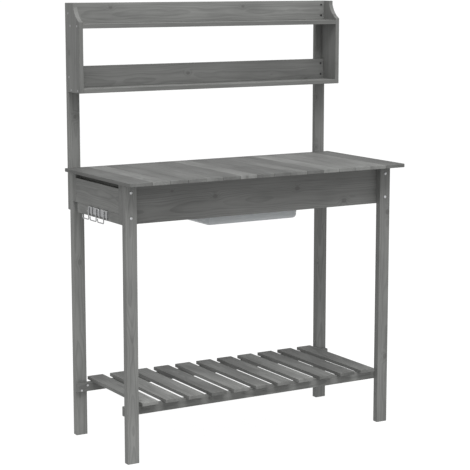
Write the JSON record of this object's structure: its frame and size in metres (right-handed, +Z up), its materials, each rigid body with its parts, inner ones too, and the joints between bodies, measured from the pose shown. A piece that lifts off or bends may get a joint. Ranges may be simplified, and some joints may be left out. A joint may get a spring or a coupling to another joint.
{
  "type": "potting bench",
  "caption": "Wooden potting bench with a planked worktop, lift-off cover over a basin, slatted lower shelf, wire tool hooks and a raised hutch.",
  "frame": {"origin": "on the floor, under the middle of the bench's bounding box", "axes": "+Z up, -Y towards the person working at the bench, +X to that person's right"},
  "size_m": [1.08, 0.504, 1.5],
  "materials": {
    "frame_wood": "grey stained softwood, matt, with visible grain and knots",
    "top_wood": "grey stained softwood planks, matt, tone differs from plank to plank",
    "hutch_wood": "grey stained softwood boards, matt, with visible grain and knots",
    "tub_plastic": "milky translucent polypropylene, satin",
    "zinc_wire": "bright zinc-plated wire",
    "zinc_screw": "bright zinc-plated heads",
    "dark_screw": "dull dark zinc"
  },
  "bodies": {
    "frame": {"leg_front_left": "frame_wood", "leg_front_right": "frame_wood", "leg_rear_left": "frame_wood", "leg_rear_right": "frame_wood", "upright_left": "frame_wood", "upright_right": "frame_wood", "apron_front": "frame_wood", "apron_rear": "frame_wood", "side_apron_left": "frame_wood", "side_apron_right": "frame_wood", "hook_rail_left": "frame_wood", "side_rail_right": "frame_wood", "shelf_rail_front": "frame_wood", "shelf_rail_rear": "frame_wood", "top_battens": "frame_wood", "basin_rail_left": "frame_wood", "basin_rail_right": "frame_wood", "shelf_slat_01": "frame_wood", "shelf_slat_02": "frame_wood", "shelf_slat_03": "frame_wood", "shelf_slat_04": "frame_wood", "shelf_slat_05": "frame_wood", "shelf_slat_06": "frame_wood", "shelf_slat_07": "frame_wood", "shelf_slat_08": "frame_wood", "shelf_slat_09": "frame_wood", "shelf_slat_10": "frame_wood", "shelf_slat_11": "frame_wood", "top_plank_01": "top_wood", "top_plank_02": "top_wood", "top_plank_03": "top_wood", "top_plank_04": "top_wood", "top_plank_05": "top_wood", "top_plank_12": "top_wood", "top_plank_13": "top_wood", "top_plank_14": "top_wood", "top_plank_15": "top_wood", "top_plank_16": "top_wood", "hutch_panel_left": "hutch_wood", "hutch_panel_right": "hutch_wood", "hutch_shelf_lower": "hutch_wood", "hutch_shelf_upper": "hutch_wood", "hutch_back_lower": "hutch_wood", "hutch_back_upper": "hutch_wood", "hook_plate": "zinc_wire", "hook_front": "zinc_wire", "hook_middle": "zinc_wire", "hook_rear": "zinc_wire", "leg_bolts": "zinc_screw", "frame_screws": "zinc_screw", "back_screws": "dark_screw"},
    "cover": {"top_plank_06": "top_wood", "top_plank_07": "top_wood", "top_plank_08": "top_wood", "top_plank_09": "top_wood", "top_plank_10": "top_wood", "top_plank_11": "top_wood", "cover_battens": "frame_wood", "cover_screws": "zinc_screw"},
    "basin_body": {"basin": "tub_plastic"}
  },
  "joints": [
    {"name": "cover_lift", "type": "slide", "parent": "frame", "child": "cover", "axis": [0, 0, 1], "range_m": [0, 0.24]},
    {"name": "basin_lift", "type": "slide", "parent": "frame", "child": "basin_body", "axis": [0, 0, 1], "range_m": [0, 0.12]}
  ],
  "couplings": [
    {"joint": "basin_lift", "follows": "cover_lift", "ratio": 0.5}
  ]
}
